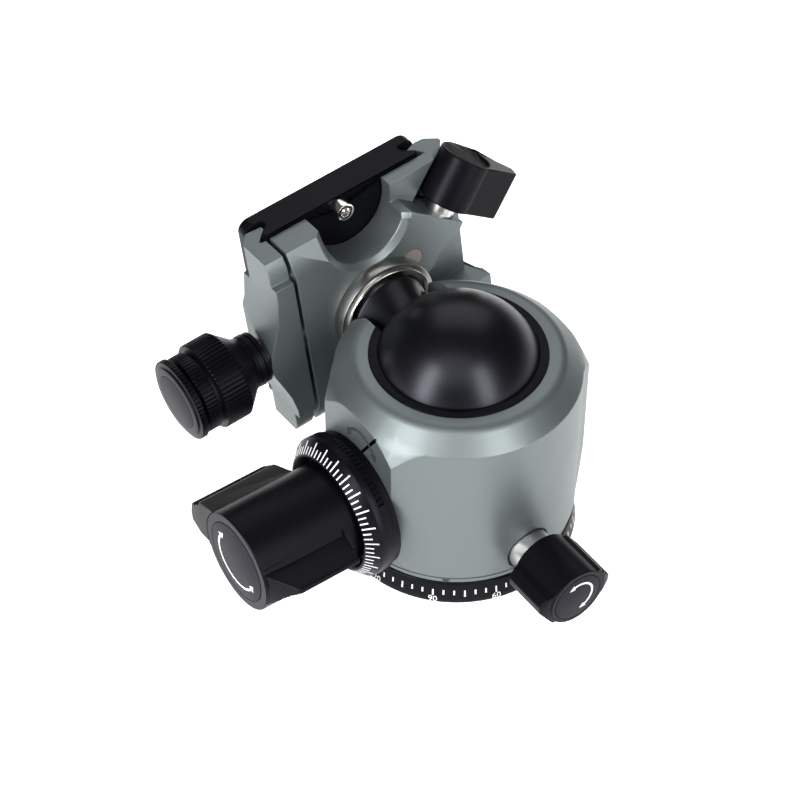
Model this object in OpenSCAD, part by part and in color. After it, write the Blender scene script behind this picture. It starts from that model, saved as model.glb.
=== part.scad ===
// Ball head with a drop notch, a turning clamp and a sliding camera plate.
// Millimetres. Z is the pan axis and z = 0 is the face that sits on a tripod.
// The stem leans out of the notch along +Y, the main lock lies along -X and
// the pan lock along -Y. Clamp parts are drawn in the clamp's own frame:
// x across the groove, y along the stem, z along the groove.

/* [Base] */
// How far the degree ring's lower edge stands out past the housing's wall
ring_out = 0.4; // [0.3:0.05:0.7]
// How much smaller the degree ring's radius is at its upper edge
ring_taper = 0.6; // [0.2:0.1:1]
// Height of the base under the turning housing
base_h = 5.2; // [4.8:0.1:5.6]
// Radius of the tripod thread
thread_r = 4.7625; // [4.6:0.0125:4.9]
// Radius of the steel thread bush
bush_r = 7; // [6.4:0.1:7.2]
// Radius of the pan spindle
spindle_r = 12; // [11.6:0.1:12.4]

/* [Housing] */
// Radius of the round wall
housing_r = 22.6; // [22.2:0.1:23]
// Depth of each side flat inside the round wall
flat_in = 0.3; // [0.1:0.1:0.8]
// Width of each side flat
flat_w = 18.8; // [16:0.2:20]
// Thickness of the liner between the ball and the round opening
liner_t = 0.45; // [0.4:0.05:0.75]
// Height of the pan lock axis above the housing's lower edge
pan_h = 5; // [4.8:0.1:5.2]
// Gap between the stem and the side of the drop notch
notch_gap = 0.4; // [0.3:0.1:0.9]

/* [Ball and stem] */
// Radius of the ball
ball_r = 15.75; // [15.6:0.05:15.9]
// Depth of the ball centre below the housing's top face
ball_drop = 5.8; // [5.5:0.1:6]
// Radius of the stem where it leaves the ball
neck_r = 6.6; // [6:0.1:7]
// Radius of the stem at its collar
neck_end_r = 7.9; // [7.4:0.1:8]
// How far the bright collar sits inside the round wall when the stem is down
collar_in = 1.6; // [1.2:0.1:1.8]
// Radius of the bright collar
collar_r = 9.5; // [9:0.1:10]
// Lean of the stem from level in the rest pose, degrees
stem_tilt = -3.3; // [-3.4:0.1:-2.8]
// Turn of the clamp about the stem in the rest pose, degrees
clamp_turn = -4.7; // [-8:0.1:4]

/* [Main lock] */
// Radius of the friction dial
dial_r = 14.3; // [14:0.1:15]
// Length of the main lock from the dial's back to the knob's end
lock_len = 25.3; // [24:0.1:28]
// Radius of the main knob's barrel
lock_barrel_r = 9.75; // [9:0.05:10]
// Reach of the main knob's wings from its axis
lock_wing_r = 16.3; // [15.4:0.1:17]
// Turn of the wings about the knob's axis, degrees
lock_turn = 0; // [-20:1:20]
// Radius of the main shaft
shaft_r = 4; // [3.6:0.1:4.2]

/* [Pan lock] */
// Length of the pan knob
pan_len = 11; // [10:0.1:16]
// Radius of the pan knob's barrel
pan_barrel_r = 6; // [5.6:0.1:6.2]
// Reach of the pan knob's wings from its axis
pan_wing_r = 8.2; // [7.8:0.1:8.4]
// Turn of the wings about the knob's axis, degrees
pan_turn = 0; // [-40:1:40]

/* [Clamp] */
// Half length of the clamp along the groove
clamp_half_len = 21.5; // [20.5:0.1:22]
// Height of the steel ring between the collar and the clamp
hub_ring_h = 2.55; // [2.4:0.05:3]
// Distance from the underside to the plate seat
seat_h = 7.9; // [7.8:0.1:8.4]
// Thickness of the fixed jaw outside the plate's foot
jaw_t = 4.8; // [4.5:0.1:5.5]
// Radius of the end notches
end_notch_r = 8.4; // [7.4:0.1:8.6]
// Swell of the jaws beside the quick-release knob
bulge_h = 3.7; // [2.6:0.1:4]

/* [Clamp knobs] */
// Length of the quick-release knob's bare neck
qr_neck_len = 3.65; // [3:0.05:7]
// Radius of its knurled rings
qr_r = 8.5; // [8:0.1:8.6]
// Radius of the clamp lock knob's barrel
turn_knob_r = 5.2; // [5:0.1:5.5]
// Length of the clamp lock knob
turn_knob_h = 9.8; // [9:0.1:14]
// Reach of its single wing
turn_wing_r = 10.6; // [10:0.1:15]

/* [Camera plate] */
// Half width of the plate
plate_half_w = 19; // [18.8:0.1:19.4]
// Half length of the plate
plate_len = 22.3; // [22:0.1:25]
// Thickness of the plate
plate_h = 6.5; // [6.3:0.1:7]
// Radius of the camera screw thread
screw_r = 3.175; // [3.1:0.025:3.3]
// Height of the camera screw above the plate
screw_out = 5; // [4:0.1:6]

/* [Hidden] */

// Facets of a full turn, and of small screws
$fn = 96;
small_fn = 32;
// Overrun of every cut past the face it opens
over = 1;
// Radial clearance of a running fit, gap between faces that turn on each
// other, and gap beside pieces that move past each other
fit = 0.06;
face_gap = 0.05;
side_gap = 0.3;

// Heights on the pan axis, from the tripod up: spindle, nut, web, lock, ball, top
spindle_h = 7;
nut_t = 1.25;
chamber_gap = 0.5;
web_t = 1.2;
thin_shaft_r = 2.4;
lock_floor_gap = 1.15;
lock_ball_gap = 0.35;
housing_z = base_h + side_gap;
chamber_z = base_h + spindle_h + nut_t + chamber_gap;
floor_z = chamber_z + web_t;
lock_z = floor_z + lock_floor_gap + thin_shaft_r;
ball_z = lock_z + thin_shaft_r + lock_ball_gap + ball_r;
top_z = ball_z + ball_drop;
pan_z = housing_z + pan_h;

// Radii and reaches from the pan axis
flat_reach = housing_r - flat_in;
chamber_wall = 3.1;
chamber_r = housing_r - chamber_wall;
envelope_out = 2;
envelope_r = housing_r + envelope_out;
opening_r = ball_r + liner_t;
ring_r = housing_r + ring_out;
ring_top_r = ring_r - ring_taper;

// Distances from the ball's centre along the stem, and radii about it
collar_t = 0.7;
stem_len = housing_r - collar_in;
under_v = stem_len + collar_t + face_gap + hub_ring_h;
seat_v = under_v + seat_h;
hub_ring_r = 10.4;
notch_r = neck_end_r + notch_gap;
relief_r = hub_ring_r + side_gap;

// Base details
ring_w = 2.6;
ring_bore = ring_r - ring_w;
foot_h = 0.4;
foot_in = 0.4;
ring_edge = 0.3;
pad_t = 0.6;
pad_margin = 1.4;
pad_in = spindle_r + side_gap;
pad_out = ring_bore - pad_margin;
washer_t = 0.4;
nut_lip = 2.5;
nut_r = spindle_r + nut_lip;
spindle_step = 3;
stub_r = spindle_r - spindle_step;
base_screw_r = 1.1;
base_head_r = 2;
base_screw_in = 0.3;
base_screw_out = 2.6;
base_screw_pitch = bush_r + base_screw_out;
base_screws_n = 3;

// Housing details
top_round = 3;
bevel_drop = 3.9;
bevel_z = top_z - bevel_drop;
cone_run = 2.2;
cone_top_drop = 3.5;
cone_low_drop = 8;
cone_top_z = top_z - cone_top_drop;
cone_low_z = top_z - cone_low_drop;
foot_rise = 8.5;
foot_band = 0.6;
foot_z = housing_z + foot_rise;
foot_low_z = housing_z + foot_band;
foot_r = housing_r - side_gap;
arc_steps = 6;
facet_in = 0.25;
line_rise = 1.2;
line_z = housing_z + line_rise;
line_w = 0.25;
line_d = 0.2;
liner_low = 5.2;
liner_rise = 0.35;
seat_foot_in = 0.55;
seat_rise = 6.55;
seat_low = ball_r - seat_foot_in;
seat_top = ball_r - seat_rise;
seat_hole = 8;
seat_in = 0.1;
wedge_in = 6.2;
wedge_out = 14.2;
wedge_half_w = 6;
relief_in = 0.25;
shoe_r = 1.5;
shoe_len = 3.8;
cap_plug_r = 4.4;
cap_r = 5.6;
cap_h = 6.5;
grub_r = 1.2;
grub_rise = 3.4;
grub_z = housing_z + grub_rise;
grub_turns = [35, 155];
seat_disc_t = 1.15;
seat_disc_edge = 0.9;
seat_disc_r = dial_r - seat_disc_edge;
spring_r = 6.5;

// Main lock details
dial_back = flat_reach + seat_disc_t + face_gap;
lock_reach = dial_back + lock_len;
dial_rim = 3.2;
dial_cone = 2.3;
dial_depth = 3.4;
dial_cone_w = 2.5;
dial_wall = 0.5;
knob_in = 0.25;
lock_setbacks = [0.7, 4.3];
lock_wing_start = 2.6;
lock_neck = 1.2;
disc_t = 1.2;
disc_edge = 1.9;
disc_proud = 0.05;
rib_r = 0.55;
knob_screw_r = 3.2;
knob_screw_h = 1.6;

// Pan lock details
pan_screw_r = 2.5;
pan_collar_r = 4.3;
pan_collar_sink = 1.2;
pan_knob_gap = 3.2;
pan_collar_in = housing_r - pan_collar_sink;
pan_knob_in = housing_r + pan_knob_gap;
pan_reach = pan_knob_in + pan_len;
pan_setback = 1.4;
pan_wing_start = 0.6;
pan_root_back = 1;
pan_disc_r = 5;
pan_rib_r = 0.4;

// Wing outlines as shares of the wing's reach, round from the axis, with the
// points that the ribbed face runs between; the main knob's two wings differ
lock_wings = [
    [[0, 0], [0.423, -0.411], [0.755, -0.264], [0.969, -0.055], [1, 0.092],
        [0.988, 0.227], [0.81, 0.27], [0.534, 0.239]],
    [[0, 0], [0.552, -0.209], [0.65, -0.11], [0.798, 0.08], [0.963, 0.239],
        [0.933, 0.282], [0.767, 0.282], [0.546, 0.27], [0.442, 0.387]]];
lock_ribs = [[2, 3], [2, 4]];
pan_wing = [[0, 0], [0.598, -0.402], [0.793, -0.366], [0.976, -0.183], [0.963, 0.024],
    [0.646, 0.488], [0.5, 0.512]];
pan_ribs = [4, 5];

// Ball and stem details
neck_root = 1.55;
neck_flare = 4;
neck_start = ball_r - neck_root;
neck_mid = stem_len - neck_flare;
spigot_r = 7;
spigot_rise = 5.7;
spigot_top = under_v + spigot_rise;
bolt_r = 3;
bolt_head_r = 4.6;
bolt_head_h = 0.8;
bolt_grip = 18;
bolt_in = spigot_top - bolt_grip;
bolt_washer_r = 9.2;
bolt_washer_t = 1;
socket_r = 1.5;
socket_d = 0.6;

// Dovetail: half widths of the plate's foot and neck, and the clamp around them
plate_foot_in = 1.6;
plate_neck_in = 2.3;
flange_gap = 0.7;
hook_gap = 0.5;
block_in = 1.8;
jaw_top_w = 0.9;
jaw_wall_w = 2.8;
plate_low_u = plate_half_w - plate_foot_in;
plate_neck_u = plate_low_u - plate_neck_in;
flange_u = plate_low_u + flange_gap;
hook_u = plate_neck_u + hook_gap;
block_u = flange_u - block_in;
jaw_top_u = flange_u + jaw_top_w;
jaw_wall_out = flange_u + jaw_wall_w;
jaw_out = flange_u + jaw_t;

// Clamp details
knob_rise = 4.6;
knob_v = under_v + knob_rise;
knob_w = -0.5;
hub_r = 11.4;
end_bevel_w = 5;
end_bevel_h = 2.5;
notch_in = 1.9;
notch_c = clamp_half_len - notch_in;
layer_h = 5.1;
ledge_w = 8;
ledge_out = 2.3;
ledge_u = jaw_out + ledge_out;
ledge_low = 2.3;
ledge_high = 5.7;
ledge_in = 0.2;
shelf_turn = 39;
shelf_u = 17.4;
shelf_w = 11;
turn_rise = 3.2;
turn_v = under_v + turn_rise;
pocket_gap = 0.8;
hook_h = 2.75;
hook_top = 3.7;
flange_h = 0.55;
jaw_gap = 0.7;
jaw_low = 1.4;
jaw_lean = 2.2;
arm_u = 20.4;
shelf_in_u = 9.6;
shelf_in_w = 16.9;
bulge_half_len = 14;
stud_r = 3;
stud_gap = 0.2;
pin_r = 1.5;
pin_w = 14.5;
pin_grip = 6.3;
pin_cover = 1;
counter_r = 9.8;
bore_end = counter_r + side_gap;
stud_tip = bore_end + stud_gap;
pin_start = block_u - pin_grip;
pin_end = jaw_wall_out - pin_cover;
index_u = 8.2;
index_r = 2.2;
index_d = 1;
index_turn = 142;

// Outlines as shares: the arm's outer side as shares of the clamp's half
// length, and the swell as shares of its half length and its height
arm_shares = [[0.905, 0.33], [0.77, 0.26], [0.66, 0.18], [0.58, 0.07]];
bulge_shares = [[1, 0], [0.64, 0.2], [0.4, 0.55], [0.2, 0.87], [0, 1],
    [-0.2, 0.9], [-0.45, 0.55], [-0.72, 0.2], [-1, 0]];

// Clamp lock knob details
turn_stud_r = 2.7;
cotter_r = 1.8;
turn_stud_in = 8;
turn_gap = 2;
turn_tip_w = 2.6;
turn_lean = 20;
turn_recess_r = 4.6;
turn_recess_d = 0.6;
cotter_in = 8.4;
cotter_len = 5;

// Quick-release knob details, as distances back from its end
qr_flange = 1.7;
qr_groove = 0.7;
qr_small = 2.6;
qr_wide = 5.4;
qr_taper = 3.1;
qr_neck_r = 5.2;
qr_groove_in = 1.4;
qr_flange_in = 0.5;
qr_small_in = 0.9;
qr_flange_r = qr_r - qr_flange_in;
qr_small_r = qr_r - qr_small_in;
qr_start = jaw_wall_out + bulge_h + face_gap;
qr_reach = qr_start + qr_neck_len + qr_taper + qr_wide + qr_groove + qr_small + qr_groove + qr_flange;
qr_disc_r = 5.4;
qr_disc_t = 1;

// Camera plate details
plate_gap = 0.15;
plate_flange_h = 0.7;
plate_neck_low = 2.6;
plate_neck_top = 3.9;
plate_edge_h = 4.3;
plate_corner_r = 2.4;
pad_u = 12;
pad_w = 5;
pad_l = 17;
plate_pad_d = 0.7;
plate_pad_out = 0.5;
camera_head_r = 6.6;
camera_head_h = 2.2;
camera_head_in = 0.5;
screw_neck_r = 2.5;
stop_r = 1.75;
stop_h = 2.6;
stop_thread_r = 1;
stop_thread = 3.4;
stop_u = 1.2;
stop_w = 20.2;

// Turns a shape drawn up +Z so that it points along -X, -Y or +Y
module to_minus_x() rotate([0, -90, 0]) children();
module to_minus_y() rotate([90, 0, 0]) children();
module to_plus_y() rotate([-90, 0, 0]) children();

// Frames: main lock axis, pan lock axis, ball and stem, clamp and its knobs
module at_lock() translate([0, 0, lock_z]) to_minus_x() children();
module at_pan() translate([0, 0, pan_z]) to_minus_y() children();
module at_ball() translate([0, 0, ball_z]) rotate([stem_tilt, 0, 0]) children();
module at_clamp() at_ball() rotate([0, clamp_turn, 0]) children();
module at_qr() at_clamp() translate([0, knob_v, knob_w]) to_minus_x() children();
module at_shelf() translate([shelf_u, turn_v, shelf_w]) rotate([0, shelf_turn, 0]) children();

// A ring of revolution and a plain washer, both standing on z = low
module turned(points) rotate_extrude() polygon(points);
module washer(r_in, r_out, low, high) difference() {
    translate([0, 0, low]) cylinder(r = r_out, h = high - low);
    translate([0, 0, low - over]) cylinder(r = r_in, h = high - low + 2 * over);
}
module rod(r, low, high) translate([0, 0, low]) cylinder(r = r, h = high - low);

// Points of an arc about a centre, from one angle to another
function arc(c, r, a0, a1, n) =
    [for (i = [0:n]) let (a = a0 + (a1 - a0) * i / n) c + r * [cos(a), sin(a)]];
// Where a line from point p grazes a circle of radius r, a little inside it
function graze(p, r, side, inset) =
    let (a = atan2(p[1], p[0]) + side * acos(r / norm(p))) (r - inset) * [cos(a), sin(a)];

// A block whose section, drawn across the groove, runs along the groove
module along_groove(points, low, high)
    translate([0, 0, low]) linear_extrude(high - low) polygon(points);
// A block whose plan, drawn as across and along, rises along the stem
module along_stem(points, low, high)
    translate([0, high, 0]) rotate([90, 0, 0]) linear_extrude(high - low) polygon(points);

// Base

module base_screw_places()
    for (i = [0:base_screws_n - 1]) rotate([0, 0, 360 * i / base_screws_n])
        translate([base_screw_pitch, 0, 0]) children();
module base_screw() {
    translate([0, 0, base_screw_in])
        cylinder(r1 = base_head_r, r2 = base_screw_r, h = base_head_r - base_screw_r, $fn = small_fn);
    rod(base_screw_r, base_screw_in, base_h + spindle_h / 2, $fn = small_fn);
}

module base_plate() color("#1d1e20") difference() {
    union() {
        rod(ring_r - foot_in, 0, foot_h);
        rod(ring_bore, 0, base_h);
    }
    rod(bush_r, -over, base_h + over);
    washer(pad_in, pad_out, -over, pad_t);
    base_screw_places() {
        base_screw();
        rod(base_head_r, -over, base_screw_in, $fn = small_fn);
    }
}
module degree_ring() color("#17181a") turned([[ring_bore, foot_h], [ring_r - ring_edge, foot_h],
    [ring_r, foot_h + ring_edge], [ring_top_r, base_h - ring_edge],
    [ring_top_r - ring_edge, base_h], [ring_bore, base_h]]);
module base_pad() color("#101011") washer(pad_in, pad_out, 0, pad_t);
module thread_bush() color("#b9babc") washer(thread_r, bush_r, 0, base_h + spindle_h + nut_t);
module pan_spindle() color("#8d9092") difference() {
    union() {
        rod(spindle_r, base_h, base_h + spindle_h);
        rod(stub_r, base_h, base_h + spindle_h + nut_t);
    }
    rod(bush_r, base_h - over, base_h + spindle_h + nut_t + over);
    base_screw_places() base_screw();
}
module spindle_nut() color("#9a9c9e")
    washer(stub_r, nut_r, base_h + spindle_h, base_h + spindle_h + nut_t);
module thrust_washer() color("#c9a45c")
    washer(spindle_r + fit, pad_out, base_h, base_h + washer_t);
module base_screws() color("#6c6e70") base_screw_places() base_screw();

// Housing

// Plan of the wall: a circle with a boss on each side, cut flat at their faces
module housing_plan() intersection() {
    union() {
        circle(r = housing_r);
        for (side = [0, 180]) rotate(side) polygon([[0, -flat_w / 2],
            graze([flat_reach, -flat_w / 2], housing_r, -1, facet_in),
            [flat_reach + over, -flat_w / 2], [flat_reach + over, flat_w / 2],
            graze([flat_reach, flat_w / 2], housing_r, 1, facet_in), [0, flat_w / 2]]);
    }
    translate([-flat_reach, -housing_r - over]) square([2 * flat_reach, 2 * (housing_r + over)]);
}

// The turned skin: foot, wall, steep cone, bevel and flat top
function cone_r(z) = housing_r + (cone_top_z - z) / cone_run;
function round_c() =
    let (drop = bevel_drop - top_round * (1 - sin(45)))
    [cone_r(bevel_z) - drop - top_round * cos(45), top_z - top_round];
module housing_skin() turned(concat([[0, housing_z], [foot_r, housing_z],
    [foot_r, foot_low_z], [envelope_r, foot_z], [envelope_r, cone_low_z - face_gap],
    [cone_r(cone_low_z), cone_low_z], [cone_r(bevel_z), bevel_z]],
    arc(round_c(), top_round, 45, 90, arc_steps), [[0, top_z]]));

// The slot that the stem drops into, along the stem and open at the top
module notch_cut(r, low, high) at_ball() to_plus_y() {
    rod(r, low, high);
    translate([-r, -top_z, low]) cube([2 * r, top_z, high - low]);
}
module relief_cut() difference() {
    notch_cut(relief_r, housing_r / 2, envelope_r + over);
    translate([-housing_r, 0, ball_z]) rotate([0, 90, 0]) rod(stem_len - relief_in, 0, 2 * housing_r);
}
module housing_shell() color("#87918f") difference() {
    intersection() {
        translate([0, 0, housing_z]) linear_extrude(top_z - housing_z) housing_plan();
        housing_skin();
    }
    rod(chamber_r, housing_z - over, chamber_z);
    rod(opening_r, floor_z, top_z + over);
    notch_cut(notch_r, opening_r / 2, envelope_r + over);
    relief_cut();
    at_lock() rod(shaft_r + fit, 0, envelope_r + over);
    at_lock() rod(cap_plug_r, -envelope_r - over, 0);
    at_pan() rod(pan_screw_r + fit, chamber_r - over, envelope_r + over);
    at_pan() rod(pan_collar_r + side_gap, pan_collar_in - face_gap, envelope_r + over);
    ring_grub_places() rod(grub_r, chamber_r - over, housing_r + over, $fn = small_fn);
    washer(housing_r - line_d, envelope_r + over, line_z, line_z + line_w);
}
module ring_grub_places() for (a = grub_turns) rotate([0, 0, a])
    translate([0, 0, grub_z]) rotate([0, 90, 0]) children();

module ball_liner() color("#2b2d2f") difference() {
    washer(seat_hole, opening_r, ball_z - liner_low, top_z + liner_rise);
    translate([0, 0, ball_z]) sphere(r = ball_r + fit);
    notch_cut(notch_r, opening_r / 2, envelope_r);
}
module ball_seat() color("#d8d5c8") difference() {
    washer(seat_hole, opening_r - seat_in, ball_z - seat_low, ball_z - seat_top);
    translate([0, 0, ball_z]) sphere(r = ball_r + fit);
}
module lock_wedges() color("#8a7a55") {
        for (side = [0, 180]) rotate([0, 0, side]) difference() {
        translate([wedge_in, -wedge_half_w, floor_z])
            cube([wedge_out - wedge_in, 2 * wedge_half_w, ball_z - seat_low - floor_z]);
        at_lock() rod(thin_shaft_r + fit, -envelope_r, envelope_r);
    }
}
module bottom_ring() color("#7c8587") difference() {
    washer(spindle_r + fit, chamber_r, base_h + washer_t + face_gap, base_h + spindle_h - face_gap);
    at_pan() rod(shoe_r, 0, spindle_r + shoe_len + over);
    at_pan() rod(pan_screw_r + fit, spindle_r + shoe_len, chamber_r + over);
}
module pan_brake_shoe() color("#c9a45c") difference() {
    at_pan() rod(shoe_r, spindle_r - over, spindle_r + shoe_len);
    rod(spindle_r + fit, 0, top_z);
}
module dial_seat() color("#1a1b1d") at_lock()
    washer(spring_r, seat_disc_r, flat_reach, flat_reach + seat_disc_t);
module dial_springs() color("#a8aaac") at_lock() {
    washer(shaft_r + fit, spring_r - fit, flat_reach, flat_reach + seat_disc_t / 2);
    washer(shaft_r + fit, spring_r - fit, flat_reach + seat_disc_t / 2, flat_reach + seat_disc_t);
}
module shaft_cap() color("#c6c9c9") rotate([0, 0, 180]) at_lock() difference() {
    turned([[0, opening_r + side_gap], [cap_plug_r, opening_r + side_gap], [cap_plug_r, flat_reach],
        [cap_r, flat_reach], [cap_r, flat_reach + cap_h / 2],
        [cap_r - cap_h / 5, flat_reach + cap_h * 4 / 5], [cap_r / 2, flat_reach + cap_h],
        [0, flat_reach + cap_h]]);
    rod(thin_shaft_r + fit, 0, opening_r + shaft_r);
}
module ring_grubs() color("#55585a") ring_grub_places() difference() {
    rod(grub_r, chamber_r, housing_r - line_d, $fn = small_fn);
    rod(grub_r / 2, housing_r - 2 * line_d - socket_d, housing_r + over, $fn = 6);
}

// Main lock

module main_shaft() color("#a4a6a8") at_lock() {
    rod(shaft_r, opening_r + face_gap, lock_reach - disc_t - knob_screw_h);
    rod(thin_shaft_r, -opening_r - shaft_r + side_gap, opening_r + face_gap + over);
}
// A wing seen along the knob's axis, and the two grooves between its three ribs
module wing(outline, reach) polygon([for (p = outline) reach * p]);
module rib_cuts(outline, reach, ends, r, low, high) for (i = [1, 2])
    translate(reach * (outline[ends[0]] * (3 - i) + outline[ends[1]] * i) / 3)
        rod(r, low, high, $fn = small_fn);

module main_knob() color("#242528") at_lock() difference() {
    low = dial_back + dial_depth - knob_in;
    rise = dial_back + dial_rim + dial_cone + lock_wing_start;
    union() {
        rod(lock_barrel_r, low, lock_reach);
        for (i = [0, 1]) intersection() {
            rotate(90 + lock_turn + 180 * i) translate([0, 0, rise])
                linear_extrude(lock_reach - side_gap - rise) wing(lock_wings[i], lock_wing_r);
            turned([[0, low], [lock_barrel_r - side_gap, low], [lock_barrel_r - side_gap, rise],
                [lock_wing_r + over, rise + lock_neck],
                [lock_wing_r + over, lock_reach - lock_setbacks[i]],
                [lock_barrel_r - side_gap, lock_reach], [0, lock_reach]]);
        }
    }
    for (i = [0, 1]) rotate(90 + lock_turn + 180 * i)
        rib_cuts(lock_wings[i], lock_wing_r, lock_ribs[i], rib_r, 0, lock_reach + over);
    rod(shaft_r, 0, lock_reach - disc_t - knob_screw_h);
    rod(knob_screw_r, lock_reach - disc_t - knob_screw_h, lock_reach);
    rod(lock_barrel_r - disc_edge, lock_reach - disc_t, lock_reach + over);
}
module main_knob_disc() color("#4a4c50") at_lock()
    rod(lock_barrel_r - disc_edge, lock_reach - disc_t, lock_reach + disc_proud);
module main_knob_screw() color("#8d8f91") at_lock() difference() {
    rod(knob_screw_r, lock_reach - disc_t - knob_screw_h, lock_reach - disc_t);
    rod(socket_r, lock_reach - disc_t - socket_d, lock_reach, $fn = 6);
}
module friction_dial() color("#1f2023") at_lock() turned([[shaft_r + fit, dial_back],
    [dial_r, dial_back], [dial_r, dial_back + dial_rim],
    [dial_r - dial_cone_w, dial_back + dial_rim + dial_cone],
    [dial_r - dial_cone_w - dial_wall, dial_back + dial_rim + dial_cone],
    [lock_barrel_r + dial_wall, dial_back + dial_depth - 2 * knob_in],
    [shaft_r + fit, dial_back + dial_depth - 2 * knob_in]]);

// Pan lock

module pan_screw() color("#c9cbcb") at_pan() {
    rod(pan_screw_r, spindle_r + shoe_len + face_gap, pan_reach - disc_t);
    rod(pan_collar_r, pan_collar_in, pan_knob_in);
}
module pan_knob() color("#242528") at_pan() difference() {
    rise = pan_knob_in + pan_wing_start;
    union() {
        rod(pan_barrel_r, pan_knob_in, pan_reach);
        intersection() {
            for (side = [0, 180]) rotate(pan_turn + side) translate([0, 0, rise])
                linear_extrude(pan_reach - side_gap - rise) wing(pan_wing, pan_wing_r);
            turned([[0, pan_knob_in], [pan_barrel_r - side_gap, pan_knob_in],
                [pan_wing_r + over, rise + pan_root_back], [pan_wing_r + over, pan_reach - pan_setback],
                [pan_barrel_r - side_gap, pan_reach], [0, pan_reach]]);
        }
    }
    for (side = [0, 180]) rotate(pan_turn + side)
        rib_cuts(pan_wing, pan_wing_r, pan_ribs, pan_rib_r, 0, pan_reach + over);
    rod(pan_screw_r, 0, pan_reach - disc_t);
    rod(pan_disc_r, pan_reach - disc_t, pan_reach + over);
}
module pan_knob_disc() color("#4a4c50") at_pan()
    rod(pan_disc_r, pan_reach - disc_t, pan_reach + disc_proud);

// Ball and stem

module ball_stem() color("#141416") at_ball() difference() {
    union() {
        sphere(r = ball_r);
        to_plus_y() turned([[0, 0], [neck_r, neck_start - over], [neck_r, neck_mid],
            [neck_end_r, stem_len], [spigot_r, stem_len], [spigot_r, spigot_top],
            [0, spigot_top]]);
    }
    to_plus_y() rod(bolt_r, bolt_in, spigot_top + over);
}
module stem_collar() color("#cfcac2") at_ball() to_plus_y()
    washer(spigot_r, collar_r, stem_len, stem_len + collar_t);
module stem_bolt() color("#8f9193") at_ball() to_plus_y() difference() {
    union() {
        rod(bolt_r, bolt_in, spigot_top + face_gap + bolt_washer_t);
        rod(bolt_head_r, spigot_top + face_gap + bolt_washer_t,
            spigot_top + face_gap + bolt_washer_t + bolt_head_h);
    }
    rod(socket_r, spigot_top + face_gap + bolt_washer_t, seat_v, $fn = 6);
}
module bolt_washer() color("#b4a27a") at_ball() to_plus_y()
    washer(bolt_r, bolt_washer_r, spigot_top + face_gap, spigot_top + face_gap + bolt_washer_t);

// Clamp

// Lower layer of the clamp: block, end notches, hub, arm and ledge
module clamp_plan_block() along_stem([[-block_u, -clamp_half_len], [-block_u, clamp_half_len],
    [0, clamp_half_len], [0, 0], [shelf_in_u, 0], [shelf_in_u, -clamp_half_len]], under_v, seat_v);
// How far along the groove the shelf lies, at a distance across it
function shelf_at(u) = shelf_w + (shelf_u - u) * tan(shelf_turn);
module clamp_arm() along_stem(concat([[0, shelf_in_w], [shelf_in_u, shelf_at(shelf_in_u)],
    [arm_u, shelf_at(arm_u)]],
    [for (s = arm_shares) clamp_half_len * s], [[0, 0]]), under_v, under_v + layer_h);
// The fixed jaw: seat, recess, hook and outer wall
function fixed_jaw() = [[0, under_v + layer_h], [jaw_out - ledge_in, under_v + layer_h],
    [jaw_out, seat_v + plate_neck_low - over], [jaw_out - jaw_lean, seat_v + hook_top - ledge_in],
    [flange_u + plate_neck_low / 4, seat_v + hook_top], [hook_u + jaw_gap, seat_v + hook_h],
    [flange_u + jaw_gap, seat_v], [0, seat_v]];
// The swell of a jaw as plan points: out from a wall, along the groove
function swell(wall, centre, in) = concat([[wall - in, centre + bulge_half_len]],
    [for (s = bulge_shares) [wall + bulge_h * s[1], centre + bulge_half_len * s[0]]],
    [[wall - in, centre - bulge_half_len]]);
module end_bevels() for (side = [0, 180]) rotate([0, side, 0]) rotate([0, -90, 0])
    translate([0, 0, -ledge_u - over]) linear_extrude(2 * ledge_u + 2 * over)
        polygon([[clamp_half_len - end_bevel_w, under_v], [clamp_half_len, under_v + end_bevel_h],
            [clamp_half_len + over, under_v + end_bevel_h + over], [clamp_half_len + over, under_v - over],
            [clamp_half_len - end_bevel_w, under_v - over]]);
module end_notch() to_plus_y() translate([0, -notch_c, under_v - over]) {
    cylinder(r = end_notch_r, h = seat_h + 2 * over);
    translate([-end_notch_r, -clamp_half_len, 0])
        cube([2 * end_notch_r, clamp_half_len, seat_h + 2 * over]);
}
module clamp_body() color("#87918f") at_clamp() difference() {
    union() {
        clamp_plan_block();
        clamp_arm();
        to_plus_y() rod(hub_r, under_v, seat_v);
        along_groove(fixed_jaw(), -clamp_half_len, clamp_half_len);
        along_groove([[shelf_in_u - over, under_v], [ledge_u, under_v],
            [ledge_u - ledge_in, under_v + ledge_low], [jaw_out, under_v + ledge_high],
            [jaw_out, seat_v - ledge_in], [shelf_in_u - over, seat_v - ledge_in]],
            -clamp_half_len, -ledge_w);
    }
    end_bevels();
    end_notch();
    rotate([0, 180, 0]) end_notch();
    at_shelf() rod(turn_knob_r + pocket_gap, -ledge_in, 2 * jaw_out);
    at_shelf() rod(turn_stud_r, -turn_stud_in - side_gap, over);
    at_shelf() rod(cotter_r, -cotter_in - cotter_len - over, over);
    to_plus_y() rod(spigot_r + fit, under_v - over, seat_v);
    to_plus_y() rod(counter_r, spigot_top, seat_v + over);
    translate([0, knob_v, knob_w]) to_minus_x() rod(stud_r + fit, bore_end, block_u + over);
    jaw_pin_places() rod(pin_r, pin_start, block_u + over, $fn = small_fn);
    index_place() rod(index_r, -over, index_d, $fn = small_fn);
    end_side_cut();
}
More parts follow.
